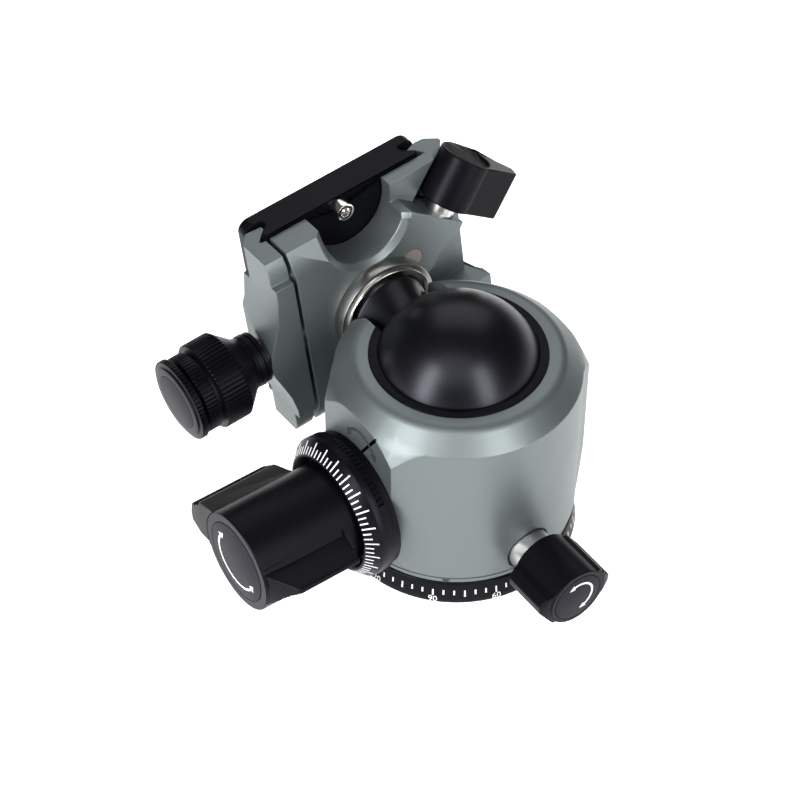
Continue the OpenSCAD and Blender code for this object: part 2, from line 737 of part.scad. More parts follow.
// Room between the hub and the ledge, under the fixed jaw
module end_side_cut() difference() {
    translate([0, 0, -ledge_w]) cube([jaw_out + over, under_v + layer_h, ledge_w]);
    to_plus_y() rod(hub_r, 0, seat_v);
    clamp_arm();
}
module jaw_pin_places() for (side = [-1, 1]) translate([0, knob_v, side * pin_w]) to_minus_x() children();
module index_place() rotate([0, index_turn - 90, 0]) translate([0, under_v, index_u + index_r])
    to_plus_y() children();
module hub_ring() color("#9c9d99") at_clamp() to_plus_y()
    washer(spigot_r + fit, hub_ring_r, stem_len + collar_t + face_gap, under_v);
module hub_index() color("#8a8078") at_clamp() index_place() rod(index_r, 0, index_d, $fn = small_fn);
module jaw_pins() color("#b5b7b8") at_clamp() jaw_pin_places()
    rod(pin_r, pin_start, pin_end, $fn = small_fn);
module turn_cotter() color("#c9a45c") at_clamp() difference() {
    at_shelf() rod(cotter_r, -cotter_in - cotter_len, -cotter_in);
    to_plus_y() rod(spigot_r + fit, 0, seat_v + over);
}

// Clamp lock knob: barrel with one flat wing
module turn_knob() color("#242528") at_clamp() at_shelf() difference() {
    union() {
        rod(turn_knob_r, turn_gap, turn_gap + turn_knob_h);
        translate([0, 0, turn_gap]) rotate(-turn_lean) linear_extrude(turn_knob_h) {
            p = [turn_wing_r, turn_tip_w / 2];
            polygon([[0, 0], graze([p[0], -p[1]], turn_knob_r, -1, facet_in), [p[0], -p[1]], p,
                graze(p, turn_knob_r, 1, facet_in)]);
        }
    }
    rod(turn_stud_r, 0, turn_gap + turn_knob_h / 2);
    rod(turn_recess_r, turn_gap + turn_knob_h - turn_recess_d, turn_gap + turn_knob_h + over);
}
module turn_stud() color("#b9babc") at_clamp() at_shelf() {
    rod(turn_stud_r - fit, -turn_stud_in, turn_gap);
    rod(turn_stud_r, turn_gap, turn_gap + turn_knob_h / 2);
}

// Moving jaw

module moving_jaw() color("#87918f") at_clamp() difference() {
    union() {
        along_groove([[-block_u - jaw_gap, under_v + jaw_low], [-block_u - jaw_gap, seat_v],
            [-flange_u, seat_v + face_gap], [-flange_u, seat_v + flange_h],
            [-hook_u, seat_v + hook_h], [-hook_u, seat_v + hook_top],
            [-jaw_top_u, seat_v + hook_top + side_gap], [-jaw_wall_out, seat_v + hook_top - jaw_lean],
            [-jaw_wall_out, under_v + jaw_low + side_gap]], -clamp_half_len, clamp_half_len);
        intersection() {
            along_stem([for (p = swell(jaw_wall_out, knob_w, over)) [-p[0], p[1]]],
                under_v, seat_v + hook_top);
            along_groove([[-block_u - jaw_gap, under_v], [-jaw_wall_out - bulge_h, under_v],
                [-jaw_wall_out - bulge_h + jaw_lean, seat_v + hook_top],
                [-block_u - jaw_gap, seat_v + hook_top]], -clamp_half_len, clamp_half_len);
        }
        along_groove([[-block_u - jaw_gap, under_v], [-jaw_wall_out, under_v],
            [-jaw_wall_out, under_v + jaw_low + 2 * side_gap],
            [-block_u - jaw_gap, under_v + jaw_low + 2 * side_gap]],
            -clamp_half_len + end_bevel_w, clamp_half_len - end_bevel_w);
    }
    end_bevels();
    translate([0, knob_v, knob_w]) to_minus_x() rod(stud_r + fit, block_u, ledge_u + over);
    jaw_pin_places() rod(pin_r + fit, block_u, pin_end + jaw_gap, $fn = small_fn);
}

// Quick-release knob
module qr_knob() color("#242528") at_qr() difference() {
    e = qr_reach;
    a = e - qr_flange;
    b = a - qr_groove - qr_small;
    c = b - qr_groove - qr_wide;
    turned([[0, e], [qr_flange_r - side_gap, e], [qr_flange_r, e - side_gap], [qr_flange_r, a],
        [qr_small_r - qr_groove_in, a], [qr_small_r - qr_groove_in, a - qr_groove],
        [qr_small_r, a - qr_groove], [qr_small_r, b], [qr_r - qr_groove_in, b],
        [qr_r - qr_groove_in, b - qr_groove], [qr_r, b - qr_groove], [qr_r, c],
        [qr_neck_r, c - qr_taper], [qr_neck_r, qr_start], [0, qr_start]]);
    rod(stud_r, 0, e - qr_disc_t);
    rod(qr_disc_r, e - qr_disc_t, e + over);
}
module qr_knob_disc() color("#4a4c50") at_qr() rod(qr_disc_r, qr_reach - qr_disc_t, qr_reach + disc_proud);
module qr_stud() color("#b9babc") at_qr() rod(stud_r, stud_tip, qr_reach - qr_disc_t);

// Camera plate

function plate_side(side) = [for (p = [[plate_low_u - plate_flange_h, 0],
    [plate_low_u, plate_flange_h], [plate_neck_u, plate_neck_low], [plate_neck_u, plate_neck_top],
    [plate_half_w, plate_edge_h], [plate_half_w, plate_h]]) [side * p[0], seat_v + plate_gap + p[1]]];
module camera_plate() color("#1b1c1f") at_clamp() difference() {
    intersection() {
        along_groove(concat(plate_side(1), [for (i = [5:-1:0]) plate_side(-1)[i]]), -plate_len, plate_len);
        to_plus_y()
            rod_round(plate_half_w + fit, plate_len, plate_corner_r, seat_v, seat_v + plate_h + over);
    }
    to_plus_y() rod(screw_r + plate_gap, seat_v, seat_v + plate_h + over);
    to_plus_y() rod(camera_head_r + plate_gap, seat_v, seat_v + camera_head_in + camera_head_h + plate_gap);
    plate_pad_places() cube([pad_w, plate_pad_d + over, 2 * pad_l]);
    stop_screw_places() rod(stop_thread_r, -over, stop_thread, $fn = small_fn);
}
// A block with rounded corners, standing on z = low
module rod_round(half_x, half_y, r, low, high) {
    translate([-half_x, r - half_y, low]) cube([2 * half_x, 2 * (half_y - r), high - low]);
    translate([r - half_x, -half_y, low]) cube([2 * (half_x - r), 2 * half_y, high - low]);
    for (i = [-1, 1], j = [-1, 1]) translate([i * (half_x - r), j * (half_y - r), 0]) rod(r, low, high);
}
module plate_pad_places() for (side = [-1, 1])
    translate([side * pad_u - pad_w / 2, seat_v + plate_gap + plate_h - plate_pad_d, -pad_l]) children();
module plate_pads() color("#0f0f10") at_clamp() plate_pad_places()
    cube([pad_w, plate_pad_d + plate_pad_out, 2 * pad_l]);
module stop_screw_places() for (side = [0, 180]) rotate([0, side, 0])
    translate([-stop_u, seat_v + plate_gap, stop_w]) to_plus_y() children();
module stop_screws() color("#d5d6d6") at_clamp() stop_screw_places() difference() {
    union() {
        rod(stop_r, -stop_h, 0);
        rod(stop_thread_r, -stop_h / 2, stop_thread, $fn = small_fn);
    }
    rod(stop_thread_r, -stop_h - over, -stop_h / 2, $fn = 6);
}
module camera_screw() color("#c9cbcb") at_clamp() to_plus_y() difference() {
    low = seat_v + camera_head_in;
    plate_face = seat_v + plate_gap + plate_h;
    union() {
        rod(camera_head_r, low, low + camera_head_h);
        rod(screw_neck_r, low, plate_face + over);
        rod(screw_r, plate_face, plate_face + screw_out);
    }
    translate([-camera_head_r - over, -camera_head_in, low - over])
        cube([2 * camera_head_r + 2 * over, 2 * camera_head_in, over + camera_head_h / 2]);
}

base_plate();
degree_ring();
base_pad();
thread_bush();
pan_spindle();
spindle_nut();
thrust_washer();
base_screws();
housing_shell();
ball_liner();
ball_seat();
lock_wedges();
bottom_ring();
pan_brake_shoe();
dial_seat();
dial_springs();
shaft_cap();
ring_grubs();
main_shaft();
main_knob();
main_knob_disc();
main_knob_screw();
friction_dial();
pan_screw();
pan_knob();
pan_knob_disc();
ball_stem();
stem_collar();
stem_bolt();
bolt_washer();
clamp_body();
hub_ring();
hub_index();
jaw_pins();
turn_cotter();
turn_knob();
turn_stud();
moving_jaw();
qr_knob();
qr_knob_disc();
qr_stud();
camera_plate();
plate_pads();
stop_screws();
camera_screw();
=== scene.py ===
import math

import bmesh
import bpy
from mathutils import Matrix, Vector


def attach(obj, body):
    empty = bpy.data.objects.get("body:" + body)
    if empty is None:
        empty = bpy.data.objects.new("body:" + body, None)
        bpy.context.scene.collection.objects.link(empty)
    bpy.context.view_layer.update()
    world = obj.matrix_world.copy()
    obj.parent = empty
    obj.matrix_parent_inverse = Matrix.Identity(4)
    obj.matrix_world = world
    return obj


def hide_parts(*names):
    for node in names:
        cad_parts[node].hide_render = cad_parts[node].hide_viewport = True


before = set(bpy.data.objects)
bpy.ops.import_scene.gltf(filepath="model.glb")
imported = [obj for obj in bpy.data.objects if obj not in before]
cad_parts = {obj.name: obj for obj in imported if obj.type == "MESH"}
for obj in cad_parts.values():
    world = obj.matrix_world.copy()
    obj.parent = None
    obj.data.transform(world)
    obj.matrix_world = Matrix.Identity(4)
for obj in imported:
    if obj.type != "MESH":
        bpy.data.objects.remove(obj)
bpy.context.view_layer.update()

# The studio: a white table under soft boxes, with the camera at the photograph's place.
# Nothing here belongs to the ball head itself. Places are in metres, lamp powers in watts.
scene = bpy.context.scene
scene.view_settings.view_transform = "Standard"

lens_mm, film_mm = 112.5, 36
camera_spot = (-0.1930, -0.2506, 0.3596)
azimuth, elevation = math.radians(-35.7), math.radians(46.14)
camera_data = bpy.data.cameras.new("camera")
camera_data.lens = lens_mm
camera_data.sensor_width = film_mm
camera_data.clip_start, camera_data.clip_end = 0.01, 10
camera = bpy.data.objects.new("camera", camera_data)
scene.collection.objects.link(camera)
scene.camera = camera
back = Vector((math.sin(azimuth) * math.cos(elevation),
               -math.cos(azimuth) * math.cos(elevation), math.sin(elevation)))
camera.location = camera_spot
camera.rotation_mode = "QUATERNION"
camera.rotation_quaternion = (-back).to_track_quat("-Z", "Y")

paper_colour = (0.86, 0.86, 0.86, 1)
glow_colour = (1, 1, 1, 1)
glow_share = 0.80
table_white = bpy.data.materials.new("table_white")
table_white.use_nodes = True
nodes, links = table_white.node_tree.nodes, table_white.node_tree.links
nodes.remove(nodes["Principled BSDF"])
paper = nodes.new("ShaderNodeBsdfDiffuse")
paper.inputs["Color"].default_value = paper_colour
glow = nodes.new("ShaderNodeEmission")
glow.inputs["Color"].default_value = glow_colour
path = nodes.new("ShaderNodeLightPath")
seen = nodes.new("ShaderNodeMath")
seen.operation = "MAXIMUM"
through = nodes.new("ShaderNodeMath")
through.operation = "MAXIMUM"
share = nodes.new("ShaderNodeMath")
share.operation = "MULTIPLY"
share.inputs[1].default_value = glow_share
both = nodes.new("ShaderNodeAddShader")
links.new(path.outputs["Is Camera Ray"], seen.inputs[0])
links.new(path.outputs["Is Glossy Ray"], seen.inputs[1])
links.new(seen.outputs[0], through.inputs[0])
links.new(path.outputs["Is Transmission Ray"], through.inputs[1])
links.new(through.outputs[0], share.inputs[0])
links.new(share.outputs[0], glow.inputs["Strength"])
links.new(paper.outputs[0], both.inputs[0])
links.new(glow.outputs[0], both.inputs[1])
links.new(both.outputs[0], nodes["Material Output"].inputs["Surface"])

table_reach = 3
sheet = bmesh.new()
bmesh.ops.create_grid(sheet, x_segments=1, y_segments=1, size=table_reach)
table_mesh = bpy.data.meshes.new("table")
sheet.to_mesh(table_mesh)
sheet.free()
table_mesh.materials.append(table_white)
table = bpy.data.objects.new("table", table_mesh)
scene.collection.objects.link(table)

air_colour, air_strength = (0.96, 0.98, 1.0, 1), 0.10
world = bpy.data.worlds.new("studio")
scene.world = world
world.use_nodes = True
air = world.node_tree.nodes["Background"]
air.inputs["Color"].default_value = air_colour
air.inputs["Strength"].default_value = air_strength

# Soft boxes: the name, where it hangs, its size and its power. All point at the housing.
lamp_aim = Vector((0, 0, 0.03))
for name, spot, size, power in (
        ("box_top_back", (0.34, 0.40, 0.62), (0.75, 0.6), 2.2),
        ("box_left", (-0.70, -0.10, 0.34), (0.22, 0.66), 9.0),
        ("box_front", (0.02, -0.70, 0.36), (0.24, 0.70), 6.6),
        ("box_high", (-0.50, -0.50, 0.95), (0.80, 0.80), 4.4)):
    box = bpy.data.lights.new(name, "AREA")
    box.shape = "RECTANGLE"
    box.size, box.size_y = size
    box.energy = power
    lamp = bpy.data.objects.new(name, box)
    lamp.location = spot
    lamp.rotation_mode = "QUATERNION"
    lamp.rotation_quaternion = (lamp_aim - Vector(spot)).to_track_quat("-Z", "Y")
    scene.collection.objects.link(lamp)

# Base: a black anodised aluminium plate with a steel thread bush, spindle, nut and screws.
# The plate sits on the tripod; three screws hold the spindle up through it.
mm_size = 0.001
cool_sheen = (0.86, 0.88, 1.0, 1)
drift_per_grain = 60
gloss_swing = 0.05
grain_height = 0.00004
seam_gap, flat_turn = 3e-6, 0.3
short_share = 0.6


def finish(name, colour, metallic, roughness, grain=5200, depth=0.10, spread=0.06,
           stretch=(1, 1, 1), specular=0.5):
    """A metal or plastic finish: fine grain in the bump, broad drift in colour and gloss."""
    made = bpy.data.materials.new(name)
    made.use_nodes = True
    nodes, links = made.node_tree.nodes, made.node_tree.links
    shader = nodes["Principled BSDF"]
    shader.inputs["Metallic"].default_value = metallic
    shader.inputs["Specular IOR Level"].default_value = specular
    if not metallic:
        shader.inputs["Specular Tint"].default_value = cool_sheen
    place = nodes.new("ShaderNodeTexCoord")
    lay = nodes.new("ShaderNodeMapping")
    lay.inputs["Scale"].default_value = stretch
    links.new(place.outputs["Object"], lay.inputs["Vector"])
    fine = nodes.new("ShaderNodeTexNoise")
    fine.inputs["Scale"].default_value = grain
    fine.inputs["Detail"].default_value = 3
    broad = nodes.new("ShaderNodeTexNoise")
    broad.inputs["Scale"].default_value = grain / drift_per_grain
    broad.inputs["Detail"].default_value = 4
    for noise in (fine, broad):
        links.new(lay.outputs["Vector"], noise.inputs["Vector"])
    tint = nodes.new("ShaderNodeMix")
    tint.data_type = "RGBA"
    tint.inputs["A"].default_value = (*[c * (1 - spread) for c in colour], 1)
    tint.inputs["B"].default_value = (*[min(1, c * (1 + spread)) for c in colour], 1)
    blend = nodes.new("ShaderNodeMath")
    blend.operation = "MULTIPLY_ADD"
    blend.inputs[1].default_value = 0.5
    half = nodes.new("ShaderNodeMath")
    half.operation = "MULTIPLY"
    half.inputs[1].default_value = 0.5
    links.new(fine.outputs["Fac"], half.inputs[0])
    links.new(broad.outputs["Fac"], blend.inputs[0])
    links.new(half.outputs[0], blend.inputs[2])
    links.new(blend.outputs[0], tint.inputs["Factor"])
    links.new(tint.outputs["Result"], shader.inputs["Base Color"])
    gloss = nodes.new("ShaderNodeMapRange")
    gloss.inputs["To Min"].default_value = roughness - gloss_swing
    gloss.inputs["To Max"].default_value = roughness + gloss_swing
    links.new(broad.outputs["Fac"], gloss.inputs["Value"])
    links.new(gloss.outputs["Result"], shader.inputs["Roughness"])
    bump = nodes.new("ShaderNodeBump")
    bump.inputs["Strength"].default_value = depth
    bump.inputs["Distance"].default_value = grain_height
    links.new(fine.outputs["Fac"], bump.inputs["Height"])
    links.new(bump.outputs["Normal"], shader.inputs["Normal"])
    return made


def dress(material, *names):
    """Gives CAD nodes, as they are, a better material."""
    for name in names:
        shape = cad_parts[name].data
        shape.materials.clear()
        shape.materials.append(material)


def merged(node):
    """A copy of a CAD node's mesh with its seams closed, in metres."""
    bm = bmesh.new()
    bm.from_mesh(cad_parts[node].data)
    bmesh.ops.remove_doubles(bm, verts=bm.verts, dist=seam_gap)
    bmesh.ops.dissolve_limit(bm, angle_limit=math.radians(flat_turn), verts=bm.verts,
                             edges=bm.edges, use_dissolve_boundaries=False)
    return bm


def soften(bm, width, segments=2, angle=28):
    """Rounds the sharp edges that are long enough to take a width given in mm."""
    limit = math.radians(angle)
    sharp = [e for e in bm.edges if e.is_manifold and e.calc_face_angle(0) > limit
             and e.calc_length() > width * mm_size * short_share]
    bmesh.ops.bevel(bm, geom=sharp, offset=width * mm_size, offset_type="OFFSET",
                    segments=segments, profile=0.5, affect="EDGES", material=-1,
                    clamp_overlap=False, miter_outer="ARC")
    return bm


def softened(node, width, segments=2, angle=28):
    """A merged copy of a CAD node's mesh with its sharp edges rounded, in metres."""
    return soften(merged(node), width, segments, angle)


def piece(name, bm, material, body, stands_for=(), smooth=32):
    """Makes the finished object, and says what it rides on and stands for."""
    mesh = bpy.data.meshes.new(name)
    bm.to_mesh(mesh)
    bm.free()
    for spare in ("custom_normal", "sharp_face"):
        if spare in mesh.attributes:
            mesh.attributes.remove(mesh.attributes[spare])
    mesh.materials.clear()
    mesh.materials.append(material)
    for face in mesh.polygons:
        face.use_smooth = True
        face.material_index = 0
    mesh.set_sharp_from_angle(angle=math.radians(smooth))
    made = bpy.data.objects.new(name, mesh)
    scene.collection.objects.link(made)
    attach(made, body)
    if stands_for:
        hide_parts(*stands_for)
    return made


def weighted(made):
    """Keeps flat faces flat beside their rounded edges."""
    keep = made.modifiers.new("flat_faces", "WEIGHTED_NORMAL")
    keep.keep_sharp = True
    return made


black_anodised = finish("black_anodised", (0.0022, 0.0022, 0.0034), 0.0, 0.36, grain=5200,
                        depth=0.12, specular=0.08)
dress(black_anodised, "base_plate")
satin_steel = finish("satin_steel", (0.60, 0.60, 0.59), 1.0, 0.30, grain=1800, depth=0.10,
                     stretch=(1, 1, 6))
dress(satin_steel, "thread_bush", "pan_spindle", "spindle_nut", "base_screws")
turned_brass = finish("turned_brass", (0.72, 0.53, 0.26), 1.0, 0.32, grain=1800, depth=0.10,
                      stretch=(1, 1, 6))
dress(turned_brass, "thrust_washer", "pan_brake_shoe", "lock_wedges")

# Base pad: a thin black rubber ring, glued in the plate's groove so that it grips.
# It has a coarse, dull grain.
black_rubber = finish("black_rubber", (0.014, 0.014, 0.014), 0.0, 0.75, grain=1500, depth=0.5,
                      spread=0.2, specular=0.3)
dress(black_rubber, "base_pad")

# Degree ring: black anodised aluminium with a slightly tapered rim, screwed to the base.
# Its scale is engraved and filled with white paint: a tick each 5 degrees, numbers each 30.
ring_low_r, ring_low_z = 23.0, 0.7
ring_high_r, ring_high_z = 22.4, 4.9
ring_round = 0.12
zero_mark = -47.0
tick_step, long_step, number_step = 5, 15, 30
tick_top_z, tick_long, tick_short = 3.45, 1.45, 1.05
tick_w, tick_thick, tick_round = 0.3, 0.04, 0.008
number_size, number_z, number_lift = 1.8, 0.62, 0.015


def ring_radius(z):
    """The ring's outer radius at a height, in mm."""
    return ring_low_r + (ring_high_r - ring_low_r) * (z - ring_low_z) / (ring_high_z - ring_low_z)


def flat_text(words, size):
    """Plain figures as a flat mesh, centred on x = 0 and standing on y = 0, in mm."""
    curve = bpy.data.curves.new("words", "FONT")
    curve.body = words
    curve.size = size
    curve.align_x = "CENTER"
    curve.resolution_u = 4
    holder = bpy.data.objects.new("words", curve)
    scene.collection.objects.link(holder)
    bpy.context.view_layer.update()
    mesh = bpy.data.meshes.new_from_object(
        holder.evaluated_get(bpy.context.evaluated_depsgraph_get()))
    bm = bmesh.new()
    bm.from_mesh(mesh)
    bpy.data.objects.remove(holder)
    bpy.data.curves.remove(curve)
    bpy.data.meshes.remove(mesh)
    return bm


def join(target, extra):
    """Adds one bmesh to another."""
    mesh = bpy.data.meshes.new("joining")
    extra.to_mesh(mesh)
    extra.free()
    target.from_mesh(mesh)
    bpy.data.meshes.remove(mesh)


def turned(bm, angle, axis):
    """Turns a bmesh about an axis through the origin, by radians."""
    bmesh.ops.rotate(bm, cent=(0, 0, 0), matrix=Matrix.Rotation(angle, 3, axis), verts=bm.verts)


piece("degree_ring_body", softened("degree_ring", ring_round), black_anodised, "base",
      ["degree_ring"])
white_paint = finish("white_paint", (0.78, 0.79, 0.80), 0.0, 0.55, grain=9000, depth=0.2,
                     spread=0.05)
marks = bmesh.new()
for value in range(0, 360, tick_step):
    turn = math.radians(zero_mark - value)
    length = tick_long if value % long_step == 0 else tick_short
    tick = bmesh.new()
    bmesh.ops.create_cube(tick, size=1)
    bmesh.ops.scale(tick, vec=(tick_thick, tick_w, length), verts=tick.verts)
    bmesh.ops.bevel(tick, geom=tick.edges[:], offset=tick_round, segments=1, profile=0.5,
                    affect="EDGES", material=-1)
    for v in tick.verts:
        z = v.co.z + tick_top_z - length / 2
        v.co = Vector((ring_radius(z) + v.co.x, v.co.y, z))
    turned(tick, turn, "Z")
    join(marks, tick)
    if value % number_step == 0:
        figure = flat_text(str(value), number_size)
        for v in figure.verts:
            z = number_z + v.co.y
            a = turn + v.co.x / ring_low_r
            r = ring_radius(z) + number_lift
            v.co = Vector((r * math.cos(a), r * math.sin(a), z))
        join(marks, figure)
bmesh.ops.scale(marks, vec=(mm_size,) * 3, verts=marks.verts)
piece("degree_ring_marks", marks, white_paint, "base")

# Housing: one machined aluminium cup, bead blasted and anodised grey green. The round
# wall carries two side flats, the top is turned round the ball and open at the drop notch.
# An engraved line, drawn as a dark ring of painted shade laid in its groove, and a small index mark
# run above the degree ring.
housing_round = 0.14
line_low_z, line_high_z, line_r, line_root_r = 6.7, 6.95, 22.44, 22.2
index_turn, index_w, index_h, index_r = -131.0, 1.7, 1.15, 22.625
foot_bevel_z, foot_bevel_slope = 5.9, 0.3
flat_x, flat_arrow_y, flat_arrow_z = -22.34, -1.2, 32.2
flat_arrow_r, flat_arrow_w, flat_arrow_head = 4.3, 0.7, 1.8
flat_arrow_from, flat_arrow_to = -62, 58
arrow_thick = 0.04
quarter_turn = math.radians(90)
mm = Matrix.Scale(mm_size, 4)
blasted_grey = finish("blasted_grey", (0.130, 0.149, 0.151), 0.72, 0.43, grain=5600,
                      depth=0.30, spread=0.05)
weighted(piece("housing_body", softened("housing_shell", housing_round), blasted_grey,
               "housing", ["housing_shell"]))
# This dark colour serves two marks. On the index mark and the flat's arrow it is the real filled
# engraving. In the engraved line's groove it is painted shade, standing in for the groove's shadow.
engraving_fill_and_groove_shade = finish("engraving_fill_and_groove_shade", (0.028, 0.031, 0.031), 0.0, 0.6, grain=6000,
                        depth=0.2, specular=0.12)


def lathe(points, steps=96):
    """Spins (radius, height) points, in mm, round Z into a closed turned shape."""
    bm = bmesh.new()
    verts = [bm.verts.new((r, 0, z)) for r, z in points]
    edges = [bm.edges.new(pair) for pair in zip(verts, verts[1:])]
    bmesh.ops.spin(bm, geom=verts + edges, cent=(0, 0, 0), axis=(0, 0, 1), dvec=(0, 0, 0),
                   angle=2 * math.pi, steps=steps, use_merge=True)
    bmesh.ops.remove_doubles(bm, verts=bm.verts, dist=1e-4)
    bmesh.ops.recalc_face_normals(bm, faces=bm.faces)
    return bm


def arc_arrow(radius, width, first, last, head, steps=40):
    """A flat double arrow along an arc, in mm and degrees, lying on z = 0."""
    bm = bmesh.new()
    start = [bm.verts.new((r, 0, 0)) for r in (radius - width / 2, radius + width / 2)]
    start.append(bm.edges.new(start))
    turned(bm, math.radians(first), "Z")
    bmesh.ops.spin(bm, geom=start, cent=(0, 0, 0), axis=(0, 0, 1), dvec=(0, 0, 0),
                   angle=math.radians(last - first), steps=steps)
    for angle, way in ((first, -1), (last, 1)):
        foot = math.radians(angle)
        tip = foot + way * head / radius
        bm.faces.new([bm.verts.new((r * math.cos(a), r * math.sin(a), 0)) for r, a in (
            (radius - head / 2, foot), (radius + head / 2, foot), (radius, tip))])
    bm.normal_update()
    bmesh.ops.solidify(bm, geom=bm.faces[:], thickness=arrow_thick)
    bmesh.ops.recalc_face_normals(bm, faces=bm.faces)
    return bm


# The engraved line: a dark ring laid in its groove as painted shade, standing in for the shadow
# inside the groove.
line = lathe([(line_root_r, line_low_z), (line_r, line_low_z), (line_r, line_high_z),
              (line_root_r, line_high_z), (line_root_r, line_low_z)], steps=180)
bmesh.ops.transform(line, matrix=mm, verts=line.verts)
piece("housing_groove_shade", line, engraving_fill_and_groove_shade, "housing")
index = bmesh.new()
index.faces.new([index.verts.new(c) for c in ((0, -index_w / 2, line_low_z),
                                              (0, index_w / 2, line_low_z),
                                              (0, 0, line_low_z - index_h))])
bmesh.ops.subdivide_edges(index, edges=index.edges, cuts=3, use_grid_fill=True)
for v in index.verts:
    v.co.x = index_r - max(0, foot_bevel_z - v.co.z) * foot_bevel_slope
turned(index, math.radians(index_turn), "Z")
bmesh.ops.transform(index, matrix=mm, verts=index.verts)
piece("housing_index", index, engraving_fill_and_groove_shade, "housing")
sweep = arc_arrow(flat_arrow_r, flat_arrow_w, flat_arrow_from, flat_arrow_to, flat_arrow_head)
bmesh.ops.transform(sweep, verts=sweep.verts,
                    matrix=mm @ Matrix.Translation((flat_x, flat_arrow_y, flat_arrow_z))
                    @ Matrix.Rotation(-quarter_turn, 4, "Y"))
piece("housing_arrow", sweep, engraving_fill_and_groove_shade, "housing")

# Ball liner and seat: a dark polymer ring holds the ball in the round opening, and an
# acetal seat under it is pushed up by the brass wedges when the main lock turns.
liner_round = 0.10
dark_polymer = finish("dark_polymer", (0.002, 0.002, 0.003), 0.0, 0.38, grain=4000, depth=0.06,
                      specular=0.08)
piece("ball_liner_ring", softened("ball_liner", liner_round), dark_polymer, "housing",
      ["ball_liner"])
white_acetal = finish("white_acetal", (0.74, 0.72, 0.66), 0.0, 0.45, grain=3000, depth=0.08)
dress(white_acetal, "ball_seat")

# Bottom ring, dial seat, dial springs, shaft cap and grub screws. The ring and the cap are
# blasted silver aluminium, the seat is black, and the springs and grub screws are steel.
# They close the housing from below and at its two side flats.
cap_round, cap_sharp = 0.25, 14
silver_blasted = finish("silver_blasted", (0.70, 0.71, 0.71), 0.7, 0.48, grain=5200, depth=0.25)
dress(silver_blasted, "bottom_ring")
dress(black_anodised, "dial_seat")
dress(satin_steel, "dial_springs", "ring_grubs")
piece("shaft_cap_body", softened("shaft_cap", cap_round, segments=3, angle=cap_sharp),
      silver_blasted, "housing", ["shaft_cap"])

# Main shaft and friction dial: a steel shaft through the housing, with a black dial on it.
# The dial's cone has white ticks, and part of its rim is cut with fine short teeth.
# Heights are measured from the head's axis, out along the shaft.
lock_z = 18.7
at_lock = Matrix.Translation((0, 0, lock_z * mm_size)) @ Matrix.Rotation(-quarter_turn, 4, "Y") @ mm
cone_low_r, cone_low_h = 13.85, 26.75
cone_top_r, cone_top_h = 11.72, 28.9
dial_outline = [(4.1, 23.5), (13.5, 23.5), (13.75, 23.65), (13.75, 23.9), (13.9, 23.95),
                (13.9, 25.25), (13.95, 25.3), (13.95, 26.5), (cone_low_r, cone_low_h),
                (cone_top_r, cone_top_h), (11.55, 29.0), (11.35, 29.0), (11.25, 28.9),
                (10.3, 26.4), (4.1, 26.4), (4.1, 23.5)]
dial_teeth, tooth_steps = 84, 4
dial_teeth_low, dial_teeth_high, dial_teeth_r, dial_tooth_depth = 23.93, 25.27, 13.87, 0.45
dial_teeth_from, dial_teeth_to = 310, 490
dial_ticks, dial_long_each, dial_tick_phase = 72, 3, -4.2
dial_tick_long, dial_tick_short, dial_tick_w, dial_tick_thick = 2.6, 1.55, 0.26, 0.05
dial_tick_r, dial_tick_h = 11.74, 28.89
dress(satin_steel, "main_shaft")


def toothed(bm, teeth, low, high, r_min, depth, first=0, last=360):
    """Cuts straight teeth between two heights of a shape spun with tooth_steps to a tooth."""
    steps = teeth * tooth_steps
    for v in bm.verts:
        r = math.hypot(v.co.x, v.co.y)
        turn = math.degrees(math.atan2(v.co.y, v.co.x)) % 360
        if low <= v.co.z <= high and r > r_min and (turn - first) % 360 <= (last - first):
            if round(turn / 360 * steps) % tooth_steps >= tooth_steps / 2:
                v.co.x *= (r - depth) / r
                v.co.y *= (r - depth) / r


dial = lathe(dial_outline, steps=dial_teeth * tooth_steps)
toothed(dial, dial_teeth, dial_teeth_low, dial_teeth_high, dial_teeth_r, dial_tooth_depth,
        dial_teeth_from, dial_teeth_to)
bmesh.ops.transform(dial, matrix=at_lock, verts=dial.verts)
piece("friction_dial_body", dial, black_anodised, "dial", ["friction_dial"])
dial_marks = bmesh.new()
cone_slope = math.atan2(cone_low_r - cone_top_r, cone_top_h - cone_low_h)
for k in range(dial_ticks):
    length = dial_tick_long if k % dial_long_each == 0 else dial_tick_short
    tick = bmesh.new()
    bmesh.ops.create_cube(tick, size=1)
    bmesh.ops.scale(tick, vec=(dial_tick_thick, dial_tick_w, length), verts=tick.verts)
    bmesh.ops.translate(tick, vec=(0, 0, -length / 2), verts=tick.verts)
    turned(tick, -cone_slope, "Y")
    bmesh.ops.translate(tick, vec=(dial_tick_r, 0, dial_tick_h), verts=tick.verts)
    turned(tick, math.radians(360 * k / dial_ticks + dial_tick_phase), "Z")
    join(dial_marks, tick)
bmesh.ops.transform(dial_marks, matrix=at_lock, verts=dial_marks.verts)
piece("friction_dial_marks", dial_marks, white_paint, "dial")

